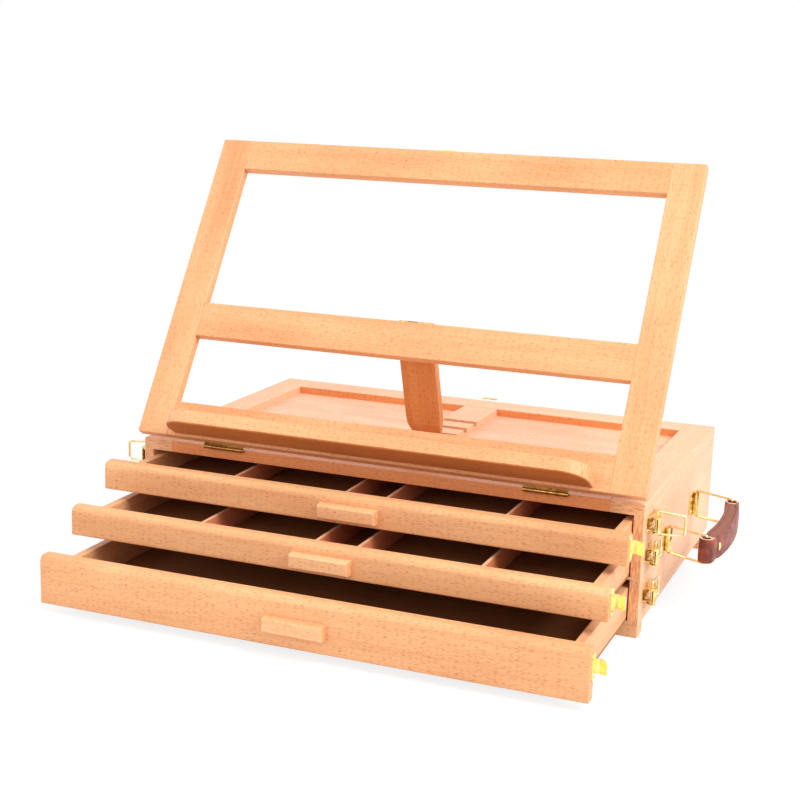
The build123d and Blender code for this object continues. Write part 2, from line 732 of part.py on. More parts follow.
save(easel_rail(easel_length - TOP_RAIL_WIDTH, TOP_RAIL_WIDTH), "easel_top_rail")

# The bottom rail is let in at the back for the easel leaves of its two hinges.
bottom_rail = easel_rail(0, BOTTOM_RAIL_WIDTH)
with BuildPart() as easel_bottom_rail:
    add(bottom_rail.part)
    with BuildSketch(easel_plane):
        with Locations((-HINGE_OFFSET, 0), (HINGE_OFFSET, 0)):
            Rectangle(
                HINGE_LENGTH + 2 * GLUE_LINE,
                HINGE_LEAF_WIDTH + GLUE_LINE,
                align=(Align.CENTER, Align.MIN),
            )
    extrude(amount=HINGE_LEAF_THICKNESS + GLUE_LINE, mode=Mode.SUBTRACT)
save(easel_bottom_rail, "easel_bottom_rail")

# The middle rail is let in at the back for the prop hinge's leaf.
middle_rail = easel_rail(MIDDLE_RAIL_START, MIDDLE_RAIL_WIDTH)
with BuildPart() as easel_middle_rail:
    add(middle_rail.part)
    with BuildSketch(easel_plane):
        with Locations((0, middle_rail_end)):
            Rectangle(
                PROP_HINGE_WIDTH + 2 * GLUE_LINE,
                PROP_LEAF_LENGTH + GLUE_LINE,
                align=(Align.CENTER, Align.MAX),
            )
    extrude(amount=PROP_LEAF_THICKNESS + GLUE_LINE, mode=Mode.SUBTRACT)
save(easel_middle_rail, "easel_middle_rail")

ledge_plane = Plane(
    origin=easel_plane.from_local_coords((0, LEDGE_LIFT, 0)),
    x_dir=(1, 0, 0),
    z_dir=easel_plane.y_dir,
)
with BuildPart() as easel_ledge:
    with BuildSketch(ledge_plane) as ledge_outline:
        with Locations((LEDGE_SHIFT, -EASEL_THICKNESS)):
            Rectangle(LEDGE_LENGTH, LEDGE_PROJECTION, align=(Align.CENTER, Align.MAX))
        fillet(ledge_outline.vertices().group_by(Axis.Y)[0], LEDGE_CORNER_RADIUS)
    extrude(amount=LEDGE_THICKNESS)
    ledge_ends = easel_ledge.faces().filter_by(ledge_plane)
    chamfer(ledge_ends.edges(), LEDGE_BEVEL)
save(easel_ledge, "easel_ledge")


# Hinges. A leaf is drawn square to its hinge's axis, with the axis at its plane's origin.
def hinge_leaf(axis_plane, low, high, knuckle_spans, clear_spans, radius, pin_radius):
    """A flat leaf that carries its own knuckles and stands clear of the other leaf's."""
    middle = ((low[0] + high[0]) / 2, (low[1] + high[1]) / 2)
    with BuildPart() as leaf:
        for start, end in knuckle_spans:
            with BuildSketch(axis_plane.offset(start)):
                with Locations(middle):
                    Rectangle(high[0] - low[0], high[1] - low[1])
                Circle(radius)
                Circle(pin_radius + RUNNING_CLEARANCE, mode=Mode.SUBTRACT)
            extrude(amount=end - start)
        for start, end in clear_spans:
            with BuildSketch(axis_plane.offset(start)):
                with Locations(middle):
                    Rectangle(high[0] - low[0], high[1] - low[1])
                Circle(radius + KNUCKLE_GAP, mode=Mode.SUBTRACT)
            extrude(amount=end - start)
    return leaf


def spans(centre, length):
    """Where a hinge's outer and middle knuckles start and end along its axis."""
    edge = length / 6
    outer = [
        (centre - length / 2, centre - edge - KNUCKLE_GAP),
        (centre + edge + KNUCKLE_GAP, centre + length / 2),
    ]
    return outer, (centre - edge, centre + edge)


def sunk_hole(leaf, seat, thickness):
    """The leaf with a hole that takes a screw's head, so that the head ends level with it."""
    with BuildPart() as drilled:
        add(leaf.part)
        with BuildSketch(seat.offset(SCREW_HEAD_HEIGHT)):
            Circle(SCREW_HEAD_RADIUS + SCREW_HOLE_CLEARANCE)
        extrude(amount=-thickness, mode=Mode.SUBTRACT)
    return drilled


case_axis_plane = Plane(origin=(0, hinge_y, hinge_z), x_dir=(0, 1, 0), z_dir=(1, 0, 0))
easel_axis_plane = Plane(origin=(0, hinge_y, hinge_z), x_dir=easel_plane.y_dir, z_dir=(1, 0, 0))
hinge_in_easel = easel_plane.to_local_coords(Vector(0, hinge_y, hinge_z))
easel_edge = -hinge_in_easel.Y
easel_back = -hinge_in_easel.Z
case_leaves = []
easel_leaves = []
for centre in (-HINGE_OFFSET, HINGE_OFFSET):
    outer, (middle_start, middle_end) = spans(centre, HINGE_LENGTH)
    case_leaf = hinge_leaf(
        case_axis_plane,
        (0, -HINGE_AXIS_LIFT - HINGE_LEAF_THICKNESS),
        (HINGE_AXIS_FORWARD + HINGE_LEAF_WIDTH, -HINGE_AXIS_LIFT),
        outer,
        [(outer[0][1], outer[1][0])],
        HINGE_KNUCKLE_RADIUS,
        HINGE_PIN_RADIUS,
    )
    easel_leaf = hinge_leaf(
        easel_axis_plane,
        (0, easel_back),
        (easel_edge + HINGE_LEAF_WIDTH, easel_back + HINGE_LEAF_THICKNESS),
        [(middle_start, middle_end)],
        [(centre - HINGE_LENGTH / 2, middle_start), (middle_end, centre + HINGE_LENGTH / 2)],
        HINGE_KNUCKLE_RADIUS,
        HINGE_PIN_RADIUS,
    )
    for screw_x in (centre - HINGE_SCREW_OFFSET, centre + HINGE_SCREW_OFFSET):
        case_seat = Plane(
            origin=(screw_x, front_y + HINGE_SCREW_INSET, case_top - SCREW_HEAD_HEIGHT),
            x_dir=(1, 0, 0),
            z_dir=(0, 0, 1),
        )
        case_screw_planes.append(case_seat)
        case_leaf = sunk_hole(case_leaf, case_seat, HINGE_LEAF_THICKNESS)
        easel_seat = Plane(
            origin=easel_plane.from_local_coords((screw_x, HINGE_SCREW_INSET, SCREW_HEAD_HEIGHT)),
            x_dir=(1, 0, 0),
            z_dir=-easel_plane.z_dir,
        )
        easel_screw_planes.append(easel_seat)
        easel_leaf = sunk_hole(easel_leaf, easel_seat, HINGE_LEAF_THICKNESS)
    case_leaves.append(case_leaf)
    easel_leaves.append(easel_leaf)

with BuildPart() as case_hinge_leaves:
    for leaf in case_leaves:
        add(leaf.part)
save(case_hinge_leaves, "case_hinge_leaves")

# Prop hinge: its leaves are let in flush, so that the easel frame can lie flat
outer, (middle_start, middle_end) = spans(0, PROP_HINGE_WIDTH)
prop_leaf_start = PROP_LEAF_LENGTH + PROP_KNUCKLE_RADIUS + KNUCKLE_GAP
rail_leaf = hinge_leaf(
    Plane(origin=prop_plane.origin, x_dir=easel_plane.y_dir, z_dir=(1, 0, 0)),
    (-prop_leaf_start, 0),
    (0, PROP_LEAF_THICKNESS),
    [(middle_start, middle_end)],
    [(-PROP_HINGE_WIDTH / 2, middle_start), (middle_end, PROP_HINGE_WIDTH / 2)],
    PROP_KNUCKLE_RADIUS,
    PROP_PIN_RADIUS,
)
for screw_x in (-PROP_SCREW_OFFSET, PROP_SCREW_OFFSET):
    rail_seat = Plane(
        origin=easel_plane.from_local_coords(
            (screw_x, middle_rail_end - PROP_LEAF_LENGTH / 2, SCREW_HEAD_HEIGHT)
        ),
        x_dir=(1, 0, 0),
        z_dir=-easel_plane.z_dir,
    )
    easel_screw_planes.append(rail_seat)
    rail_leaf = sunk_hole(rail_leaf, rail_seat, PROP_LEAF_THICKNESS)
easel_leaves.append(rail_leaf)

with BuildPart() as easel_hinge_leaves:
    for leaf in easel_leaves:
        add(leaf.part)
    # The prop hinge's pin is fixed in the rail's knuckle.
    with BuildSketch(Plane.YZ.offset(-PROP_HINGE_WIDTH / 2)):
        with Locations((prop_hinge_y, prop_hinge_z)):
            Circle(PROP_PIN_RADIUS)
    extrude(amount=PROP_HINGE_WIDTH)
save(easel_hinge_leaves, "easel_hinge_leaves")

prop_hinge_leaf = hinge_leaf(
    Plane(origin=prop_plane.origin, x_dir=prop_plane.y_dir, z_dir=(1, 0, 0)),
    (-prop_leaf_start, -PROP_LEAF_THICKNESS),
    (0, 0),
    outer,
    [(outer[0][1], outer[1][0])],
    PROP_KNUCKLE_RADIUS,
    PROP_PIN_RADIUS,
)
save(prop_hinge_leaf, "prop_hinge_leaf")

# Prop leg: its lower end tapers in plan and is bevelled to a narrow sole at the back
prop_top = -PROP_KNUCKLE_RADIUS - KNUCKLE_GAP
taper_start = PROP_TAPER_LENGTH - prop_length
half_prop = PROP_WIDTH / 2
half_tip = PROP_TIP_WIDTH / 2
with BuildPart() as prop_leg:
    with BuildSketch(prop_plane):
        with BuildLine():
            Polyline(
                (-half_prop, taper_start),
                (-half_prop, prop_top),
                (half_prop, prop_top),
                (half_prop, taper_start),
            )
            TangentArc((half_prop, taper_start), (half_tip, -prop_length), tangent=(0, -1))
            Line((half_tip, -prop_length), (-half_tip, -prop_length))
            TangentArc((-half_prop, taper_start), (-half_tip, -prop_length), tangent=(0, -1))
        make_face()
    extrude(amount=-PROP_THICKNESS)
    bevel_plane = Plane(origin=prop_plane.origin, x_dir=prop_plane.z_dir, z_dir=(-1, 0, 0))
    sole_end = (
        PROP_SOLE * cos(prop_lean) - PROP_THICKNESS,
        PROP_SOLE * sin(prop_lean) - prop_length,
    )
    with BuildSketch(bevel_plane):
        with BuildLine():
            Polyline(
                (-PROP_THICKNESS, -prop_length),
                sole_end,
                (0, PROP_BEVEL_LENGTH - prop_length),
                (PROP_SOLE, PROP_BEVEL_LENGTH - prop_length),
                (PROP_SOLE, -prop_length - PROP_SOLE),
                (-PROP_THICKNESS, -prop_length - PROP_SOLE),
                close=True,
            )
        make_face()
    extrude(amount=PROP_WIDTH, both=True, mode=Mode.SUBTRACT)
    with BuildSketch(prop_plane):
        with Locations((0, -prop_leaf_start - GLUE_LINE)):
            Rectangle(
                PROP_HINGE_WIDTH + 2 * GLUE_LINE,
                prop_leaf_start + 2 * GLUE_LINE,
                align=(Align.CENTER, Align.MIN),
            )
    extrude(amount=-PROP_LEAF_THICKNESS - GLUE_LINE, mode=Mode.SUBTRACT)
save(prop_leg, "prop_leg")

# The keeper on the easel frame's top end, for the latch on the case's back
easel_keeper_seat = Plane(
    origin=easel_plane.from_local_coords((BACK_LATCH_X, easel_length, 0)),
    x_dir=-easel_plane.z_dir,
    z_dir=easel_plane.y_dir,
)
save(keeper(easel_keeper_seat, SHORT_KEEPER_LIP), "easel_keeper")
for along, across in keeper_screws:
    easel_screw_planes.append(
        Plane(
            origin=easel_keeper_seat.from_local_coords((along, across, KEEPER_SHEET)),
            x_dir=easel_keeper_seat.x_dir,
            z_dir=easel_keeper_seat.z_dir,
        )
    )

# Carrying handle: two barrel plates, a wire loop in each, and a leather grip on the loops
barrel_x = half_width + HANDLE_BARREL_OFFSET
front_barrel_y = front_y + HANDLE_FRONT_BARREL
barrels = [front_barrel_y, front_barrel_y + HANDLE_BARREL_SPACING]
with BuildPart() as handle_brackets:
    for barrel_y in barrels:
        with BuildSketch(Plane.XY.offset(HANDLE_HEIGHT - HANDLE_PLATE_HEIGHT / 2)):
            with Locations((half_width, barrel_y)):
                Rectangle(HANDLE_PLATE_SHEET, HANDLE_PLATE_LENGTH, align=(Align.MIN, Align.MAX))
        extrude(amount=HANDLE_PLATE_HEIGHT)
        with BuildSketch(Plane.XY.offset(HANDLE_HEIGHT - handle_height_between / 2)):
            with Locations((half_width, barrel_y)):
                Rectangle(HANDLE_BARREL_OFFSET, HANDLE_BARREL_RADIUS, align=(Align.MIN, Align.CENTER))
            with Locations((barrel_x, barrel_y)):
                Circle(HANDLE_BARREL_RADIUS)
                Circle(HANDLE_WIRE_RADIUS + RUNNING_CLEARANCE, mode=Mode.SUBTRACT)
        extrude(amount=handle_height_between)
        for rise in (-HANDLE_SCREW_SPREAD / 2, HANDLE_SCREW_SPREAD / 2):
            seat = Plane(
                origin=(
                    half_width + HANDLE_PLATE_SHEET,
                    barrel_y - HANDLE_SCREW_SETBACK,
                    HANDLE_HEIGHT + rise,
                ),
                x_dir=(0, 1, 0),
                z_dir=(1, 0, 0),
            )
            case_screw_planes.append(seat)
            with BuildSketch(seat):
                Circle(screw_hole_radius)
            extrude(amount=-HANDLE_PLATE_SHEET, mode=Mode.SUBTRACT)
save(handle_brackets, "handle_brackets")

swing = radians(HANDLE_SWING)
swing_direction = Vector(cos(swing), -sin(swing), 0)
for name, barrel_y in zip(("front", "rear"), barrels):
    loop_plane = Plane(
        origin=(barrel_x, barrel_y, HANDLE_HEIGHT),
        x_dir=swing_direction,
        z_dir=swing_direction.cross(Vector(0, 0, 1)),
    )
    with BuildPart() as handle_loop:
        with BuildLine(loop_plane) as wire:
            FilletPolyline(
                (0, -HANDLE_WIRE_RADIUS / 2),
                (0, -HANDLE_LOOP_HEIGHT / 2),
                (HANDLE_REACH, -HANDLE_LOOP_HEIGHT / 2),
                (HANDLE_REACH, HANDLE_LOOP_HEIGHT / 2),
                (0, HANDLE_LOOP_HEIGHT / 2),
                (0, HANDLE_WIRE_RADIUS / 2),
                radius=HANDLE_BEND_RADIUS,
            )
        with BuildSketch(Plane(origin=wire.line @ 0, z_dir=wire.line % 0)):
            Circle(HANDLE_WIRE_RADIUS)
        sweep()
    save(handle_loop, f"handle_loop_{name}")

grip_x = barrel_x + HANDLE_REACH * cos(swing)
grip_front_y = front_barrel_y - HANDLE_REACH * sin(swing)
grip_rear_y = grip_front_y + HANDLE_BARREL_SPACING
grip_middle_y = (grip_front_y + grip_rear_y) / 2
rivet_places = (grip_front_y + RIVET_SETBACK, grip_rear_y - RIVET_SETBACK)
bow_radius = ((HANDLE_BARREL_SPACING / 2) ** 2 + GRIP_BOW**2) / (2 * GRIP_BOW)


def bow_at(y):
    """How far the grip's middle line bows out at a place along it."""
    return GRIP_BOW - bow_radius + (bow_radius**2 - (y - grip_middle_y) ** 2) ** 0.5


rivet_body = GRIP_THICKNESS / 2 - RIVET_HEAD
with BuildPart() as handle_grip:
    with BuildSketch(Plane.XY.offset(HANDLE_HEIGHT - handle_height_between / 2)):
        with BuildLine(mode=Mode.PRIVATE) as middle_line:
            ThreePointArc(
                (grip_x, grip_front_y), (grip_x + GRIP_BOW, grip_middle_y), (grip_x, grip_rear_y)
            )
        SlotArc(middle_line.edge(), GRIP_THICKNESS)
        with Locations((grip_x, grip_front_y)):
            Circle(HANDLE_WIRE_RADIUS + RUNNING_CLEARANCE, mode=Mode.SUBTRACT)
        with Locations((grip_x, grip_rear_y)):
            Circle(HANDLE_WIRE_RADIUS + GRIP_REAR_CLEARANCE, mode=Mode.SUBTRACT)
    extrude(amount=handle_height_between)
    for rivet_y in rivet_places:
        rivet_plane = Plane(
            origin=(grip_x + bow_at(rivet_y), rivet_y, HANDLE_HEIGHT), x_dir=(0, 1, 0), z_dir=(1, 0, 0)
        )
        with BuildSketch(rivet_plane):
            Circle(RIVET_SHANK_RADIUS + GLUE_LINE)
        extrude(amount=GRIP_THICKNESS, both=True, mode=Mode.SUBTRACT)
        for outward in (rivet_body, -rivet_body - GRIP_THICKNESS):
            with BuildSketch(rivet_plane.offset(outward)):
                Circle(RIVET_RADIUS + GLUE_LINE)
            extrude(amount=GRIP_THICKNESS, mode=Mode.SUBTRACT)
save(handle_grip, "handle_grip")

with BuildPart() as handle_rivets:
    for rivet_y in rivet_places:
        rivet_plane = Plane(
            origin=(grip_x + bow_at(rivet_y), rivet_y, HANDLE_HEIGHT), x_dir=(0, 1, 0), z_dir=(1, 0, 0)
        )
        with BuildSketch(rivet_plane):
            Circle(RIVET_SHANK_RADIUS)
        extrude(amount=rivet_body, both=True)
        for head_base in (rivet_body, -rivet_body - RIVET_HEAD):
            with BuildSketch(rivet_plane.offset(head_base)):
                Circle(RIVET_RADIUS)
            extrude(amount=RIVET_HEAD)
save(handle_rivets, "handle_rivets")

# Pivot pins of the latches and of the two case hinges
with BuildPart() as pivot_pins:
    for plane in latch_planes.values():
        pin_half = LEVER_WIDTH / 2 + LATCH_PIN_OVERHANG
        with BuildSketch(plane.offset(-pin_half)):
            with Locations(LEVER_PIVOT):
                Circle(LATCH_PIN_RADIUS)
        extrude(amount=2 * pin_half)
    for centre in (-HINGE_OFFSET, HINGE_OFFSET):
        with BuildSketch(case_axis_plane.offset(centre - HINGE_LENGTH / 2)):
            Circle(HINGE_PIN_RADIUS)
        extrude(amount=HINGE_LENGTH)
save(pivot_pins, "pivot_pins")

save(screws(case_screw_planes), "case_screws")
save(screws(easel_screw_planes), "easel_screws")
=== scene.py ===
import json
import math

import bmesh
import bpy
from mathutils import Matrix, Vector


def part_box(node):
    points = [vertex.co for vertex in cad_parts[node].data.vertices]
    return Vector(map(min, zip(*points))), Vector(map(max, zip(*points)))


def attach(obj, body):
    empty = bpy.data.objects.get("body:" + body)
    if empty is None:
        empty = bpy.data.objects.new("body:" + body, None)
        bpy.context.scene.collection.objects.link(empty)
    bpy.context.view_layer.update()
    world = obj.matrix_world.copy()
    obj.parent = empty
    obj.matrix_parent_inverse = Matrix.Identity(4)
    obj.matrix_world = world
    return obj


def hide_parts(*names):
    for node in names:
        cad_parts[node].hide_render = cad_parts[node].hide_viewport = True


# A table box easel: pale oiled beech, brass fittings and a leather grip. Lengths of pieces
# are written in millimetres and turned into metres by MM.
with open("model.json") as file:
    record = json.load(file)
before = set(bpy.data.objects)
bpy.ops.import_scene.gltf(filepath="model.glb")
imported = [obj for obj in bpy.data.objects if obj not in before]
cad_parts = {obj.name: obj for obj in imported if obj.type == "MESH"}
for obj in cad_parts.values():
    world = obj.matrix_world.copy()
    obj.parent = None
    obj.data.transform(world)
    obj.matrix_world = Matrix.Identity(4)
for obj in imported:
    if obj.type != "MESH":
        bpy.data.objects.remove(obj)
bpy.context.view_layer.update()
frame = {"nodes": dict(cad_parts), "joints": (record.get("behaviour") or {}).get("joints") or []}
nodes = frame["nodes"]
joints = {joint["name"]: joint for joint in frame["joints"]}
scene = bpy.context.scene

MM = 0.001
RIGHT = Vector((1, 0, 0))
BACK = Vector((0, 1, 0))
FRONT = -BACK
UP = Vector((0, 0, 1))
LEVELS = ("top", "middle", "bottom")

# The easel frame's directions, from how far it and the prop leg fold from where they stand
PROP_PLAY = 0.5
easel_lean = math.radians(90 + joints["easel_fold"]["range_deg"][0])
prop_folding = math.radians(joints["prop_fold"]["range_deg"][1] - PROP_PLAY)
prop_lean = math.pi - easel_lean - prop_folding
UP_THE_FRAME = Vector((0, math.sin(easel_lean), math.cos(easel_lean)))
OUT_OF_THE_FRAME = Vector((0, -math.cos(easel_lean), math.sin(easel_lean)))
UP_THE_PROP = Vector((0, -math.sin(prop_lean), math.cos(prop_lean)))


# Materials
def paint(red, green, blue):
    """A colour as it is seen, each part 0 to 255, as the linear values that a shader takes."""
    parts = [value / 255 for value in (red, green, blue)]
    linear = [v / 12.92 if v <= 0.04045 else ((v + 0.055) / 1.055) ** 2.4 for v in parts]
    return (*linear, 1.0)


class Field:
    """A value that varies over a surface. Arithmetic on fields adds Math nodes."""

    def __init__(self, finish, socket):
        self.finish = finish
        self.socket = socket

    def __add__(self, other):
        return self.finish.maths("ADD", self, other)

    def __radd__(self, other):
        return self.finish.maths("ADD", other, self)

    def __sub__(self, other):
        return self.finish.maths("SUBTRACT", self, other)

    def __rsub__(self, other):
        return self.finish.maths("SUBTRACT", other, self)

    def __mul__(self, other):
        return self.finish.maths("MULTIPLY", self, other)

    def __rmul__(self, other):
        return self.finish.maths("MULTIPLY", other, self)

    def __abs__(self):
        return self.finish.maths("ABSOLUTE", self)


class Finish:
    """The nodes of one material, or of the world round the object."""

    def __init__(self, owner):
        self.owner = owner
        owner.use_nodes = True
        self.tree = owner.node_tree
        self.tree.nodes.clear()

    def node(self, kind, settings=None, inputs=None):
        """A node of a kind: its settings are set first, then the values or links of its sockets."""
        made = self.tree.nodes.new("ShaderNode" + kind)
        for key, value in (settings or {}).items():
            setattr(made, key, value)
        for key, value in (inputs or {}).items():
            if isinstance(value, Field):
                self.tree.links.new(value.socket, made.inputs[key])
            else:
                made.inputs[key].default_value = value
        return made

    def field(self, kind, output, settings=None, inputs=None):
        """One output of a new node."""
        return Field(self, self.node(kind, settings, inputs).outputs[output])

    def maths(self, operation, *values):
        return self.field("Math", 0, {"operation": operation}, dict(enumerate(values)))

    def vector_maths(self, operation, output, *values):
        return self.field("VectorMath", output, {"operation": operation}, dict(enumerate(values)))

    def clamp(self, value):
        """A value kept between 0 and 1."""
        return self.field("Clamp", 0, inputs={"Value": value, "Min": 0.0, "Max": 1.0})

    def step(self, value, low, high):
        """0 below low, 1 above high, and smooth in between."""
        settings = {"interpolation_type": "SMOOTHSTEP"}
        inputs = {"Value": value, "From Min": low, "From Max": high}
        return self.field("MapRange", 0, settings, inputs)

    def mix(self, share, first, second):
        """The first colour where share is 0 and the second where it is 1."""
        return self.field("Mix", 2, {"data_type": "RGBA"}, {0: share, 6: first, 7: second})

    def tint(self, share, colour, with_colour):
        """A colour multiplied by another, as far as share says."""
        settings = {"data_type": "RGBA", "blend_type": "MULTIPLY"}
        return self.field("Mix", 2, settings, {0: share, 6: colour, 7: with_colour})

    def place(self):
        """Where a point is on its piece, in metres, wherever the piece has moved to."""
        return self.field("TexCoord", "Object")

    def along(self, vector, direction):
        """A vector's length along a direction."""
        return self.vector_maths("DOT_PRODUCT", "Value", vector, direction)

    def turned_to(self, direction):
        """How far the surface is turned to a direction: 1 when it faces it, -1 when it faces away."""
        return self.along(self.field("TexCoord", "Normal"), direction)

    def vector(self, x, y, z):
        return self.field("CombineXYZ", 0, inputs={0: x, 1: y, 2: z})

    def noise(self, vector, scale=1.0, detail=2.0, roughness=0.5):
        inputs = {"Vector": vector, "Scale": scale, "Detail": detail, "Roughness": roughness}
        return self.field("TexNoise", 0, inputs=inputs)

    def cells(self, vector, scale=1.0, output="Distance", feature="F1"):
        inputs = {"Vector": vector, "Scale": scale}
        return self.field("TexVoronoi", output, {"feature": feature}, inputs)

    def shade(self, height, height_distance, height_strength, **inputs):
        """Ends a material in one Principled shader, with a bump from a height."""
        sockets = {key.replace("_", " "): value for key, value in inputs.items()}
        bump_inputs = {"Height": height, "Distance": height_distance, "Strength": height_strength}
        sockets["Normal"] = self.field("Bump", 0, inputs=bump_inputs)
        shader = self.field("BsdfPrincipled", 0, inputs=sockets)
        self.node("OutputMaterial", inputs={"Surface": shader})
        return self.owner


def material_finish(name):
    return Finish(bpy.data.materials.new(name))


# How often the beech's features come back in each millimetre, along the grain and across it
BAND = (0.0035, 0.055)
CLOUD = (0.012, 0.02)
FIBRE = (0.02, 1.1)
PORE = (0.21, 1.7)
PORE_SLANT = 0.03
PORE_EDGE = (0.14, 0.42)
PORE_CHANCE = (0.1, 0.6)
PORE_DEPTH = 0.75
PORE_COLOUR = paint(196, 142, 104)
END_STREAK = (0.1, 0.16, 1.4)
END_LIGHT = paint(240, 186, 134)
END_DEEP = paint(196, 114, 68)
END_STREAKS = 0.8


def beech(name, grain, across, tones, seed=0.0, figure=1.0, painted_shade=None, both_ways=False, ends=END_STREAKS):
    """Oiled beech: soft broad bands, fine fibres and many short dark pores along the grain.

    grain and across are directions on the piece. tones are its light and deep colour. figure
    is how strong its bands are, and ends how strong its end grain is. The painted shade
    argument is a direction and a darker tone: the surfaces turned to that direction, away from
    the end grain, are multiplied by the tone as painted shade; both_ways paints the same shade
    on the surfaces that are turned the opposite way.
    """
    wood = material_finish(name)
    place = wood.place()
    length = wood.along(place, grain / MM) + seed
    breadth = wood.along(place, across / MM) + seed * 0.37
    depth = wood.along(place, grain.cross(across) / MM) + seed * 0.73

    def stretched(rates):
        along_rate, across_rate = rates
        return wood.vector(length * along_rate, breadth * across_rate, depth * across_rate)

    band = wood.noise(stretched(BAND), detail=3.0, roughness=0.55)
    cloud = wood.noise(stretched(CLOUD), detail=2.0)
    fibre = wood.noise(stretched(FIBRE), detail=3.0, roughness=0.6)
    bands = figure * (1.5 * (band - 0.5) + 0.9 * (cloud - 0.5))
    share = wood.clamp(0.5 + bands + 0.75 * (fibre - 0.5))

    pore_along, pore_across = PORE
    slant = length * PORE_SLANT
    pore_place = wood.vector(length * pore_along, breadth * pore_across + slant, depth * pore_across + slant)
    inside_pore = 1 - wood.step(wood.cells(pore_place), *PORE_EDGE)
    has_pore = wood.step(wood.along(wood.cells(pore_place, output="Color"), RIGHT), *PORE_CHANCE)
    pore = inside_pore * has_pore
    light, deep = (paint(*tone) for tone in tones)
    colour = wood.tint(pore * PORE_DEPTH, wood.mix(share, light, deep), PORE_COLOUR)

    end_grain = wood.step(abs(wood.turned_to(grain)), 0.6, 0.85)
    along_rate, breadth_rate, depth_rate = END_STREAK
    streak_place = wood.vector(length * along_rate, breadth * breadth_rate, depth * depth_rate)
    streak = wood.step(wood.noise(streak_place, detail=3.0, roughness=0.65), 0.36, 0.7)
    colour = wood.mix(end_grain * ends, colour, wood.mix(streak, END_LIGHT, END_DEEP))
    # Painted shade: faces turned to the given direction get the darker tone multiplied in, all but their end
    # grain
    if painted_shade:
        direction, tone = painted_shade
        facing = wood.turned_to(direction)
        painted_shade_share = wood.step(abs(facing) if both_ways else facing, 0.3, 0.8)
        colour = wood.tint(painted_shade_share * (1 - end_grain), colour, paint(*tone))

    return wood.shade(
        height=fibre * 0.5 - pore,
        height_distance=0.00007,
        height_strength=0.5,
        Base_Color=colour,
        Roughness=0.42 + 0.16 * fibre,
        IOR=1.45,
    )


def brass(name, tone, painted_dark_reflection, roughness):
    """Brass plating whose surface and roughness are a little uneven where it has been stamped and handled.
    Noise paints patches of a darker tone in as dark reflections.
    """
    metal = material_finish(name)
    place = metal.place()
    cloud = metal.noise(place, scale=260.0, detail=3.0)
    grime = metal.noise(place, scale=90.0, detail=2.0)
    # Painted dark reflections: patches of the darker tone, laid by noise, stand in for the dark things that
    # polished brass would reflect
    return metal.shade(
        height=cloud,
        height_distance=0.00008,
        height_strength=0.4,
        Base_Color=metal.mix(metal.step(cloud, 0.38, 0.72), paint(*tone), paint(*painted_dark_reflection)),
        Metallic=1.0,
        Roughness=roughness + 0.16 * metal.step(grime, 0.4, 0.75),
    )


def leather(name, skin_tones, edge_tones, rim_tone, eyes, rim):
    """Smooth waxed leather with fine creases. Its cut edges are suede, paler within rim of an eye."""
    hide = material_finish(name)
    place = hide.place()
    crease = hide.cells(place, scale=1100.0, feature="DISTANCE_TO_EDGE")
    patch = hide.noise(place, scale=130.0, detail=4.0)
    suede = hide.noise(place, scale=1500.0, detail=3.0)
    skin = hide.mix(hide.step(patch, 0.35, 0.68), *[paint(*tone) for tone in skin_tones])
    edge = hide.mix(suede, *[paint(*tone) for tone in edge_tones])
    near_eye = 0
    for eye in eyes:
        offset = hide.vector_maths("SUBTRACT", "Vector", place, eye)
        level_offset = hide.vector_maths("MULTIPLY", "Vector", offset, (1, 1, 0))
        distance = hide.vector_maths("LENGTH", "Value", level_offset)
        near_eye = near_eye + (1 - hide.step(distance, rim * 0.9, rim * 1.15))
    edge = hide.mix(near_eye * 0.75, edge, paint(*rim_tone))
    cut = hide.step(abs(hide.turned_to(UP)), 0.75, 0.95)
    return hide.shade(
        height=hide.step(crease, 0.0, 0.12) + patch * 0.6 + cut * suede,
        height_distance=0.00012,
        height_strength=0.5,
        Base_Color=hide.mix(cut, skin, edge),
        Roughness=0.34 + 0.2 * patch + 0.3 * cut,
    )


def drawer_board(name, tones, grain, across):
    """A plain brown board that floors a drawer."""
    board = material_finish(name)
    place = board.place()
    length = board.along(place, grain / MM)
    breadth = board.along(place, across / MM)
    fibre = board.noise(board.vector(length * 0.02, breadth * 0.6, 0.0), detail=4.0, roughness=0.65)
    cloud = board.noise(board.vector(length * 0.01, breadth * 0.02, 0.0), detail=2.0)
    share = board.step(0.7 * fibre + 0.4 * cloud, 0.35, 0.8)
    return board.shade(
        height=fibre,
        height_distance=0.00006,
        height_strength=0.5,
        Base_Color=board.mix(share, *[paint(*tone) for tone in tones]),
        Roughness=0.5 + 0.2 * fibre,
    )


def dress(material, *names):
    """Gives CAD pieces a material."""
    for name in names:
        slots = nodes[name].data.materials
        slots.clear()
        slots.append(material)


# Light and deep colours of each kind of board
FRONT_TONES = ((238, 182, 130), (214, 146, 96))
PULL_TONES = ((244, 192, 142), (224, 160, 112))
PALE_TONES = ((246, 198, 162), (230, 172, 132))
FRAME_TONES = ((239, 180, 130), (216, 146, 94))
WALL_TONES = ((240, 190, 142), (216, 152, 108))
THIN_BOARD_TONES = ((242, 200, 168), (226, 172, 136))
PROP_TONES = ((230, 158, 96), (204, 122, 64))
DRAWER_FLOOR_TONES = ((172, 112, 66), (132, 80, 44))
# Painted shade, as the way the faces turn and the darker tone painted on them: the top rails' fronts, the
# ledge's underside, and both sides of each partition
RAIL_FRONT_PAINTED_SHADE = (FRONT, (244, 200, 154))
LEDGE_UNDERSIDE_PAINTED_SHADE = (-UP_THE_FRAME, (222, 184, 140))
PARTITION_SIDES_PAINTED_SHADE = (RIGHT, (232, 190, 172))
STRONG_ENDS = 0.85
WEAK_ENDS = 0.4

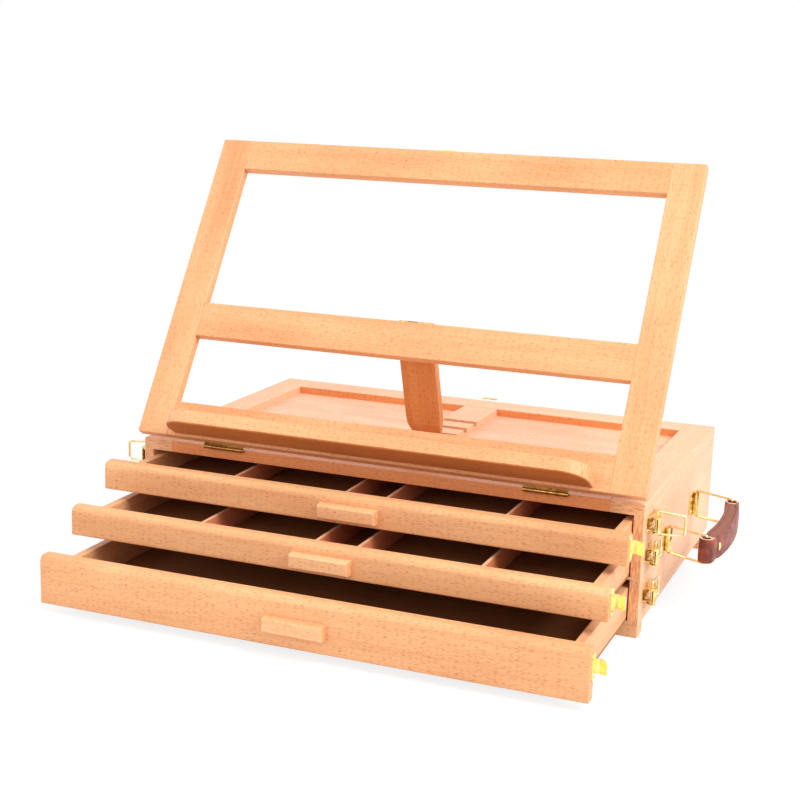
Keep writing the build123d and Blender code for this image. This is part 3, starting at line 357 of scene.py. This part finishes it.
dress(beech("right side beech", BACK, UP, PALE_TONES, 13, 0.8, ends=STRONG_ENDS), "case_side_right")
dress(beech("left side beech", BACK, UP, PALE_TONES, 57, 0.8, ends=STRONG_ENDS), "case_side_left")
dress(beech("top stile beech", BACK, RIGHT, PALE_TONES, 31, 0.7, ends=STRONG_ENDS), "top_side_stiles")
dress(beech("centre stile beech", BACK, RIGHT, PALE_TONES, 91, 0.7), "top_centre_stile")
dress(beech("top rail beech", RIGHT, BACK, PALE_TONES, 71, 0.8, painted_shade=RAIL_FRONT_PAINTED_SHADE), "top_rails")
dress(beech("back beech", RIGHT, UP, PALE_TONES, 23), "back_panel")
dress(beech("foot beech", RIGHT, BACK, PULL_TONES, 5, ends=WEAK_ENDS), "foot_rails")
thin_board = beech("thin board beech", RIGHT, BACK, THIN_BOARD_TONES, 77, 1.4)
dress(thin_board, "top_panels", "bottom_panel", "case_shelves")
for index, level in enumerate(LEVELS):
    front_wood = beech(f"{level} front beech", RIGHT, UP, FRONT_TONES, 137 * index)
    pull_wood = beech(f"{level} pull beech", RIGHT, UP, PULL_TONES, 19 * index + 3)
    wall_wood = beech(f"{level} drawer wall beech", BACK, UP, WALL_TONES, 43 * index + 8)
    floor_board = drawer_board(f"{level} drawer board", DRAWER_FLOOR_TONES, RIGHT, BACK)
    dress(front_wood, f"{level}_drawer_front")
    dress(pull_wood, f"{level}_drawer_pull")
    dress(wall_wood, f"{level}_drawer_walls")
    dress(floor_board, f"{level}_drawer_floor")
for level in ("top", "middle"):
    partition_name = f"{level} partition beech"
    partition_wood = beech(
        partition_name, BACK, UP, PALE_TONES, 67, painted_shade=PARTITION_SIDES_PAINTED_SHADE, both_ways=True
    )
    dress(partition_wood, f"{level}_drawer_partitions")
dress(beech("easel stile beech", UP_THE_FRAME, RIGHT, FRAME_TONES, 211), "easel_stiles")
for level, seed in (("top", 17), ("middle", 29), ("bottom", 83)):
    rail_wood = beech(f"easel {level} rail beech", RIGHT, UP_THE_FRAME, FRAME_TONES, seed)
    dress(rail_wood, f"easel_{level}_rail")
dress(beech("ledge beech", RIGHT, UP_THE_FRAME, FRAME_TONES, 101, painted_shade=LEDGE_UNDERSIDE_PAINTED_SHADE), "easel_ledge")
dress(beech("prop beech", UP_THE_PROP, RIGHT, PROP_TONES, 7), "prop_leg")

plating = brass("brass plating", (248, 226, 164), (222, 184, 104), 0.16)
keeper_brass = brass("keeper brass", (254, 244, 178), (246, 232, 148), 0.22)
wire_brass = brass("brass wire", (252, 234, 190), (238, 208, 148), 0.14)
screw_brass = brass("screw brass", (248, 226, 160), (218, 178, 98), 0.2)
hinge_brass = brass("hinge brass", (188, 144, 78), (128, 90, 40), 0.3)
dress(plating, "latch_plates", "handle_brackets", "prop_hinge_leaf")
dress(hinge_brass, "case_hinge_leaves", "easel_hinge_leaves")
dress(keeper_brass, "easel_keeper", *[f"{level}_drawer_keepers" for level in LEVELS])
dress(wire_brass, "handle_loop_front", "handle_loop_rear")
dress(screw_brass, "pivot_pins")
latch_names = [f"{level}_{side}" for level in LEVELS for side in ("left", "right")] + ["back"]
for name in latch_names:
    dress(plating, f"latch_lever_{name}")
    dress(wire_brass, f"latch_bail_{name}")


# Detailed pieces
SHARP_EDGE = math.radians(40)


def made(name, mesh, material, body, slot, *replaced):
    """Finishes a built mesh as a piece that moves with a body."""
    data = bpy.data.meshes.new(name)
    bmesh.ops.recalc_face_normals(mesh, faces=mesh.faces)
    mesh.to_mesh(data)
    mesh.free()
    data.materials.append(material)
    data.shade_smooth()
    data.set_sharp_from_angle(angle=SHARP_EDGE)
    piece = bpy.data.objects.new(name, data)
    scene.collection.objects.link(piece)
    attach(piece, body)
    if replaced:
        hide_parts(*replaced)
    return piece


def seat_on(point, outward):
    """A place at a point whose Z axis points outward."""
    return Matrix.Translation(point) @ outward.to_track_quat("Z", "Y").to_matrix().to_4x4()


def turn_solid(mesh, profile, seat, count=24):
    """A round solid about a seat's Z axis. Its profile of radii and heights begins and ends on the axis."""
    first = mesh.verts.new(seat @ Vector((0, 0, profile[0][1] * MM)))
    rings = []
    for radius, height in profile[1:-1]:
        angles = [2 * math.pi * step / count for step in range(count)]
        points = [Vector((radius * math.cos(a), radius * math.sin(a), height)) * MM for a in angles]
        rings.append([mesh.verts.new(seat @ point) for point in points])
    last = mesh.verts.new(seat @ Vector((0, 0, profile[-1][1] * MM)))
    for near, far in zip(rings, rings[1:]):
        for step in range(count):
            following = (step + 1) % count
            mesh.faces.new((near[step], near[following], far[following], far[step]))
    for step in range(count):
        following = (step + 1) % count
        mesh.faces.new((first, rings[0][following], rings[0][step]))
        mesh.faces.new((last, rings[-1][step], rings[-1][following]))


# Screws: the rows of a dome are angles from the top of the head
SCREW_RADIUS = 1.7
SHANK_RADIUS = 0.9
SCREW_LENGTH = 5.5
SUNK_HEAD = 0.5
ROUND_HEAD = 0.9
DOME_ROWS = (0, 15, 30, 45, 60, 75)
SLOT_WIDTH = 0.5
SLOT_DEPTH = 0.38
LEAST_SLOT_FLOOR = 0.05
DOME_FOOT = 0.02


def slotted_screw(mesh, seat, head_height, slot_turn):
    """A wood screw with a domed, slotted head, on a seat whose Z axis points out of the wood."""
    one = bmesh.new()
    rows = [math.radians(row) for row in DOME_ROWS]
    dome = [(SCREW_RADIUS * math.sin(row), head_height * math.cos(row)) for row in rows]
    shank = [(SCREW_RADIUS, 0), (SHANK_RADIUS, 0), (SHANK_RADIUS, -SCREW_LENGTH), (0, -SCREW_LENGTH)]
    turn_solid(one, dome + shank, Matrix.Identity(4))
    half = SLOT_WIDTH / 2 * MM
    for side in (-half, half):
        everything = one.verts[:] + one.edges[:] + one.faces[:]
        bmesh.ops.bisect_plane(one, geom=everything, plane_co=(side, 0, 0), plane_no=RIGHT)
    middles = [(face, face.calc_center_median()) for face in one.faces]
    slot_faces = [face for face, at in middles if abs(at.x) < half and at.z > DOME_FOOT * MM]
    lowered = bmesh.ops.extrude_face_region(one, geom=slot_faces)["geom"]
    bmesh.ops.delete(one, geom=[face for face in slot_faces if face.is_valid], context="FACES_ONLY")
    slot_floor = max(head_height - SLOT_DEPTH, LEAST_SLOT_FLOOR) * MM
    for vert in lowered:
        if isinstance(vert, bmesh.types.BMVert):
            vert.co.z = min(vert.co.z, slot_floor)
    turned_seat = seat @ Matrix.Rotation(slot_turn, 4, "Z")
    copies = {vert: mesh.verts.new(turned_seat @ vert.co) for vert in one.verts}
    for face in one.faces:
        mesh.faces.new([copies[vert] for vert in face.verts])
    one.free()


def separate_solids(mesh):
    """The vertices of a mesh, gathered into the solids that it holds."""
    solids = []
    reached = set()
    for start in mesh.verts:
        if start in reached:
            continue
        reached.add(start)
        solid = [start]
        for vert in solid:
            for edge in vert.link_edges:
                neighbour = edge.other_vert(vert)
                if neighbour not in reached:
                    reached.add(neighbour)
                    solid.append(neighbour)
        solids.append(solid)
    return solids


def flat_end_axis(solid):
    """The direction in which a solid has the largest area of flat faces."""
    faces = list(dict.fromkeys(face for vert in solid for face in vert.link_faces))

    def flat_area(one):
        return sum(face.calc_area() for face in faces if abs(face.normal.dot(one.normal)) > 0.9999)

    return max(faces, key=flat_area).normal.copy()


def wide_end(solid, axis):
    """The radius and the middle of the end of a solid that lies furthest along an axis."""
    furthest = max(vert.co.dot(axis) for vert in solid)
    rim = [vert.co for vert in solid if furthest - vert.co.dot(axis) < 0.05 * MM]
    centre = sum(rim, Vector()) / len(rim)
    return max((point - centre).length for point in rim), centre


def screw_seats(name):
    """Where each screw of a CAD piece has its head's base, and the way its head points."""
    cad = bmesh.new()
    cad.from_mesh(nodes[name].data)
    bmesh.ops.remove_doubles(cad, verts=cad.verts, dist=0.001 * MM)
    seats = []
    for screw in separate_solids(cad):
        axis = flat_end_axis(screw)
        radius, top = wide_end(screw, axis)
        other_radius, other_top = wide_end(screw, -axis)
        if other_radius > radius:
            axis, top = -axis, other_top
        seats.append((top - axis * SUNK_HEAD * MM, axis))
    cad.free()
    return seats


# A hinge screw's head is sunk in its leaf; every other head stands on its plate
screw_groups = (("case_screws", "case", UP), ("easel_screws", "easel", -OUT_OF_THE_FRAME))
for node, body, out_of_the_leaf in screw_groups:
    screws = bmesh.new()
    for index, (point, outward) in enumerate(screw_seats(node)):
        sunk = outward.dot(out_of_the_leaf) > 0.9
        head_height = SUNK_HEAD if sunk else ROUND_HEAD
        slotted_screw(screws, seat_on(point, outward), head_height, 0.5 + 1.1 * index)
    made(node.replace("screws", "slotted_screws"), screws, screw_brass, body, "brass_screws", node)

KEEPER_SHEET = 0.9
KEEPER_SCREW_BACK = 3.5
KEEPER_SCREW_OFFSET = 6.0
for level in LEVELS:
    keeper_low, keeper_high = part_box(f"{level}_drawer_keepers")
    plate_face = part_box(f"{level}_drawer_front")[1].x + KEEPER_SHEET * MM
    plate_middle = keeper_high.y - KEEPER_SCREW_BACK * MM
    tab_height = (keeper_low.z + keeper_high.z) / 2
    screws = bmesh.new()
    for sign in (-1, 1):
        for rise in (-KEEPER_SCREW_OFFSET, KEEPER_SCREW_OFFSET):
            head = Vector((sign * plate_face, plate_middle, tab_height + rise * MM))
            slotted_screw(screws, seat_on(head, sign * RIGHT), ROUND_HEAD, 0.4 + 0.9 * rise + sign)
    made(f"{level}_keeper_screws", screws, screw_brass, f"{level}_drawer", "brass_screws")

# Leather grip: a strap that runs round both bars, over a filling that leaves an eye at each
GRIP_HALF = 5.7
GRIP_BOW = 5.5
NECK_PLACE = 10.0
NECK_LENGTH = 4.5
NECK_DEPTH = 1.1
STRAP = 2.5
STRAP_CORNER = 0.9
STRAP_BELLY = 0.35
EYE_RADIUS = GRIP_HALF - STRAP
FILLING_LAP = 0.3
FILLING_DROP = 0.5
FILLING_CROWN = 0.35
front_bar = Vector(joints["grip_turn"]["pos_m"])
bar_spacing = joints["rear_loop_swing"]["pos_m"][1] - joints["handle_swing"]["pos_m"][1]
rear_bar = front_bar + BACK * bar_spacing
half_span = bar_spacing / MM / 2
bow_radius = (half_span**2 + GRIP_BOW**2) / (2 * GRIP_BOW)
bow_angle = math.asin(half_span / bow_radius)
half_length = bow_angle * bow_radius
bow_centre = (front_bar + rear_bar) / 2 + RIGHT * (GRIP_BOW - bow_radius) * MM
grip_low, grip_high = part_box("handle_grip")
grip_half_height = (grip_high.z - grip_low.z) / 2 / MM


def grip_point(run, offset, height):
    """A point on the grip: run goes from -1 at the front bar to 1 at the rear bar."""
    angle = run * bow_angle
    radius = (bow_radius + offset) * MM
    return bow_centre + Vector((radius * math.cos(angle), radius * math.sin(angle), height * MM))


def grip_half_at(run):
    """Half the grip's thickness, with a shallow neck behind each eye."""
    from_bar = (1 - abs(run)) * half_length
    return GRIP_HALF - NECK_DEPTH * math.exp(-(((from_bar - NECK_PLACE) / NECK_LENGTH) ** 2))


def strap_path():
    """The strap's middle line, once round the grip."""
    inset = STRAP / 2
    runs = [-1 + step / 32 for step in range(65)]
    turns = [math.pi * step / 20 for step in range(1, 20)]

    def round_a_bar(bar, start):
        angles = [start + turn for turn in turns]
        return [bar + Vector((math.cos(a), math.sin(a), 0)) * (GRIP_HALF - inset) * MM for a in angles]

    outside = [grip_point(run, grip_half_at(run) - inset, 0) for run in runs]
    inside = [grip_point(-run, inset - grip_half_at(run), 0) for run in runs]
    return outside + round_a_bar(rear_bar, bow_angle) + inside + round_a_bar(front_bar, math.pi - bow_angle)


def strap_section():
    """The strap's outline across its run: how far out of its middle line, and how high."""
    half = STRAP / 2
    outline = []
    for sign_out, sign_up, start in ((1, 1, 0), (-1, 1, 90), (-1, -1, 180), (1, -1, 270)):
        for step in range(5):
            angle = math.radians(start + 22.5 * step)
            out = sign_out * (half - STRAP_CORNER) + STRAP_CORNER * math.cos(angle)
            rise = sign_up * (grip_half_height - STRAP_CORNER) + STRAP_CORNER * math.sin(angle)
            outline.append((out, rise))
        if sign_out == -sign_up:
            for share in (-0.66, -0.33, 0.0, 0.33, 0.66):
                belly = STRAP_BELLY * (1 - share**2) if sign_out > 0 else 0
                outline.append((sign_out * half + belly, sign_out * share * grip_half_height))
    return outline


def build_strap():
    """The strap: its section carried along its path and joined up with itself."""
    strap = bmesh.new()
    path = strap_path()
    section = strap_section()
    rings = []
    for index, point in enumerate(path):
        ahead = path[(index + 1) % len(path)] - path[index - 1]
        outward = ahead.normalized().cross(UP)
        ring = [strap.verts.new(point + outward * out * MM + UP * rise * MM) for out, rise in section]
        rings.append(ring)
    for ring, following in zip(rings, rings[1:] + rings[:1]):
        for step in range(len(section)):
            after = (step + 1) % len(section)
            strap.faces.new((ring[step], ring[after], following[after], following[step]))
    return strap


def build_filling():
    """The filling between the strap's two runs, hollowed round each eye."""
    filling = bmesh.new()
    columns = 9
    stations = 72

    def crowned_sheet(side):
        sheet = []
        for column in range(columns):
            across = -1 + 2 * column / (columns - 1)
            reach = math.sqrt(max(EYE_RADIUS**2 - (across * EYE_RADIUS) ** 2, 0)) / half_length
            rise = side * (grip_half_height - FILLING_DROP - FILLING_CROWN * across**2)
            line = []
            for station in range(stations):
                run = (-1 + reach) + (2 - 2 * reach) * station / (stations - 1)
                half = grip_half_at(run) - STRAP + FILLING_LAP
                line.append(filling.verts.new(grip_point(run, across * half, rise)))
            sheet.append(line)
        return sheet

    upper, lower = crowned_sheet(1), crowned_sheet(-1)
    for sheet in (upper, lower):
        for line, beside in zip(sheet, sheet[1:]):
            for station in range(stations - 1):
                after = station + 1
                filling.faces.new((line[station], beside[station], beside[after], line[after]))
    for high_line, low_line in ((upper[0], lower[0]), (upper[-1], lower[-1])):
        for station in range(stations - 1):
            after = station + 1
            filling.faces.new((high_line[station], high_line[after], low_line[after], low_line[station]))
    for end in (0, -1):
        for column in range(columns - 1):
            after = column + 1
            corners = (upper[column][end], upper[after][end], lower[after][end], lower[column][end])
            filling.faces.new(corners)
    return filling


grip_leather = leather(
    "grip leather",
    skin_tones=((150, 62, 38), (98, 34, 20)),
    edge_tones=((160, 106, 88), (112, 66, 54)),
    rim_tone=(244, 206, 180),
    eyes=(front_bar, rear_bar),
    rim=GRIP_HALF * MM,
)
leather_strap = made("leather_grip_strap", build_strap(), grip_leather, "grip", "grip_leather", "handle_grip")
leather_filling = made("leather_grip_filling", build_filling(), grip_leather, "grip", "grip_leather")

# The grip's rivets: at each end of a shank a low dome with a rolled rim, as radii and heights
RIVET_RADIUS = 3.7
RIVET_SEAT = 0.6
RIVET_DOME = [(0, 0.95), (1.2, 0.9), (2.3, 0.72), (2.7, 0.55)]
RIVET_RIM = [(3.1, 0.62), (3.5, 0.5), (RIVET_RADIUS, 0.25), (RIVET_RADIUS, 0)]
RIVET_SHANK = [(1.2, 0), (1.2, -4.8), (0, -4.8)]
rivet_low, rivet_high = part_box("handle_rivets")
rivets = bmesh.new()
for along in (rivet_low.y + RIVET_RADIUS * MM, rivet_high.y - RIVET_RADIUS * MM):
    centre = Vector(((rivet_low.x + rivet_high.x) / 2, along, (rivet_low.z + rivet_high.z) / 2))
    for sign in (-1, 1):
        head = centre + RIGHT * sign * (GRIP_HALF - RIVET_SEAT) * MM
        turn_solid(rivets, RIVET_DOME + RIVET_RIM + RIVET_SHANK, seat_on(head, sign * RIGHT), 32)
made("grip_rivets", rivets, keeper_brass, "grip", "brass_screws", "handle_rivets")

# Camera: the photograph's place and angle. The focal length is in the photograph's pixels.
PHOTO_WIDTH = 800
FOCAL_PIXELS = 1509.1
SENSOR_WIDTH = 36.0
camera_place = Vector((431.1, -1054.0, 411.9)) * MM
camera_turn = math.radians(-21.642)
camera_tilt = math.radians(-12.621)
camera_roll = math.radians(1.685)

camera_data = bpy.data.cameras.new("camera")
camera_data.sensor_width = SENSOR_WIDTH
camera_data.lens = FOCAL_PIXELS / PHOTO_WIDTH * SENSOR_WIDTH
camera = bpy.data.objects.new("camera", camera_data)
scene.collection.objects.link(camera)
level_right = Vector((math.cos(camera_turn), -math.sin(camera_turn), 0))
level_forward = Vector((math.sin(camera_turn), math.cos(camera_turn), 0))
forward = level_forward * math.cos(camera_tilt) + UP * math.sin(camera_tilt)
level_up = level_right.cross(forward)
right = level_right * math.cos(camera_roll) + level_up * math.sin(camera_roll)
upward = level_up * math.cos(camera_roll) - level_right * math.sin(camera_roll)
camera_axes = Matrix((right, upward, -forward)).transposed().to_4x4()
camera.matrix_world = Matrix.Translation(camera_place) @ camera_axes
scene.camera = camera
scene.view_settings.view_transform = "Standard"


# Light: a soft lamp high on the right, weaker ones in front and on the left, pale surroundings
def lamp(name, place, target, size, energy):
    """A square soft lamp that faces a point. Its places and its size are in millimetres."""
    data = bpy.data.lights.new(name, "AREA")
    data.size = size * MM
    data.energy = energy
    light = bpy.data.objects.new(name, data)
    scene.collection.objects.link(light)
    light.location = Vector(place) * MM
    light.rotation_mode = "QUATERNION"
    light.rotation_quaternion = (Vector(target) - Vector(place)).normalized().to_track_quat("-Z", "Y")


lamp("right lamp", (1500, -300, 1500), (0, 60, 120), 1200, 38)
lamp("front lamp", (-300, -1900, 900), (0, 0, 120), 1500, 12)
lamp("left lamp", (-1600, 200, 900), (0, 60, 120), 1200, 8)

# The surroundings light the object softly, and show white behind it and in its reflections
WHITE = (1, 1, 1, 1)
AMBIENT = 0.75
surroundings = Finish(bpy.data.worlds.new("surroundings"))
world_rays = surroundings.node("LightPath").outputs
camera_ray = Field(surroundings, world_rays["Is Camera Ray"])
glossy_ray = Field(surroundings, world_rays["Is Glossy Ray"])
seen = surroundings.maths("MAXIMUM", camera_ray, glossy_ray)
ambient = surroundings.field("Background", 0, inputs={"Color": WHITE, "Strength": AMBIENT})
backdrop = surroundings.field("Background", 0, inputs={"Color": WHITE, "Strength": 1.0})
sky = surroundings.field("MixShader", 0, inputs={0: seen, 1: ambient, 2: backdrop})
surroundings.node("OutputWorld", inputs={"Surface": sky})
scene.world = surroundings.owner

# Floor: white to the camera, with the object's faint soft shadow left in it near by, and matt
# grey to the light. Its places here are in metres.
FLOOR_REACH = 6.0
FLOOR_CENTRE = (0.0, 0.06, 0.0)
SHADOW_REACH = (0.35, 0.8)
NEAR_GLOW = 0.82
paper = material_finish("floor")
camera_ray = Field(paper, paper.node("LightPath").outputs["Is Camera Ray"])
away = paper.step(paper.vector_maths("DISTANCE", "Value", paper.place(), FLOOR_CENTRE), *SHADOW_REACH)
matt = paper.field("BsdfDiffuse", 0, inputs={"Color": (0.8, 0.8, 0.8, 1)})
shadowed = paper.field("BsdfDiffuse", 0, inputs={"Color": WHITE})
glow = paper.field("Emission", 0, inputs={"Color": WHITE, "Strength": 1.0})
glow_share = NEAR_GLOW + (1 - NEAR_GLOW) * away
white = paper.field("MixShader", 0, inputs={0: glow_share, 1: shadowed, 2: glow})
seen_floor = paper.field("MixShader", 0, inputs={0: camera_ray, 1: matt, 2: white})
paper.node("OutputMaterial", inputs={"Surface": seen_floor})
floor_mesh = bpy.data.meshes.new("floor")
floor_corners = [(x * FLOOR_REACH, y * FLOOR_REACH, 0) for x, y in ((-1, -1), (1, -1), (1, 1), (-1, 1))]
floor_mesh.from_pydata(floor_corners, [], [(0, 1, 2, 3)])
floor_mesh.materials.append(paper.owner)
floor = bpy.data.objects.new("floor", floor_mesh)
scene.collection.objects.link(floor)
